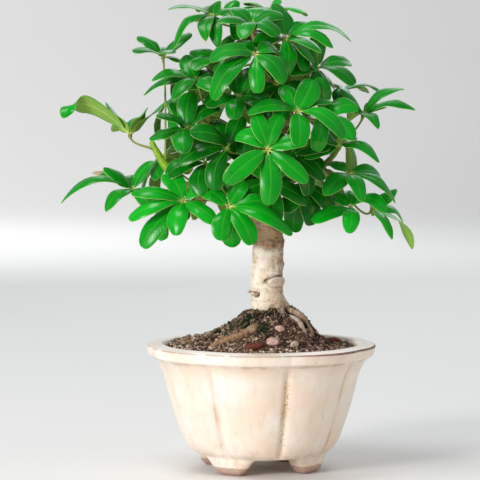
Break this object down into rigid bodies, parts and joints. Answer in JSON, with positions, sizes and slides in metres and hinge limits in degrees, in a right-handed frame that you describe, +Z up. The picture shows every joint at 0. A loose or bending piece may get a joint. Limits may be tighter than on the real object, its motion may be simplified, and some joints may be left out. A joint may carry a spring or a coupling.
{
  "type": "schefflera bonsai",
  "caption": "Dwarf umbrella tree trained as a bonsai: stout pale trunk, dense round crown of glossy fingered leaves, mossy soil mound, in a round lobed cream glazed pot on small feet.",
  "frame": {"origin": "middle of the whole plant's outline seen from above, on the plane on which the feet stand", "axes": "+Z up; the pictured front faces -Y, and +X is to the right in that view; the pot's axis is upright, 15.4 mm to the +X side of the origin"},
  "size_m": [0.2292, 0.1506, 0.307],
  "materials": {
    "cream_glaze": "gloss",
    "gritty_soil": "matte",
    "pale_bark": "matte",
    "green_leaf": "satin",
    "pink_stone": "matte",
    "red_bark": "matte"
  },
  "bodies": {
    "root": {"pot": "cream_glaze", "soil": "gritty_soil", "trunk": "pale_bark", "stone_large": "pink_stone", "stone_small": "pink_stone", "stone_pale": "pink_stone", "bark_chip_front": "red_bark", "bark_chip_right": "red_bark", "leaf_01": "green_leaf", "leaf_02": "green_leaf", "leaf_03": "green_leaf", "leaf_04": "green_leaf", "leaf_05": "green_leaf", "leaf_06": "green_leaf", "leaf_07": "green_leaf", "leaf_08": "green_leaf", "leaf_09": "green_leaf", "leaf_10": "green_leaf", "leaf_11": "green_leaf", "leaf_12": "green_leaf", "leaf_13": "green_leaf", "leaf_14": "green_leaf", "leaf_15": "green_leaf", "leaf_16": "green_leaf", "leaf_17": "green_leaf", "leaf_18": "green_leaf", "leaf_19": "green_leaf", "leaf_20": "green_leaf", "leaf_21": "green_leaf", "leaf_22": "green_leaf", "leaf_23": "green_leaf", "leaf_24": "green_leaf", "leaf_25": "green_leaf", "leaf_26": "green_leaf", "leaf_27": "green_leaf", "leaf_28": "green_leaf", "leaf_29": "green_leaf", "leaf_30": "green_leaf", "leaf_31": "green_leaf", "leaf_32": "green_leaf", "leaf_33": "green_leaf", "leaf_34": "green_leaf", "leaf_35": "green_leaf", "leaf_36": "green_leaf", "leaf_37": "green_leaf", "leaf_38": "green_leaf", "leaf_39": "green_leaf", "leaf_40": "green_leaf", "leaf_41": "green_leaf", "leaf_42": "green_leaf", "leaf_43": "green_leaf", "leaf_44": "green_leaf", "leaf_45": "green_leaf", "leaf_46": "green_leaf", "leaf_47": "green_leaf"}
  },
  "joints": []
}
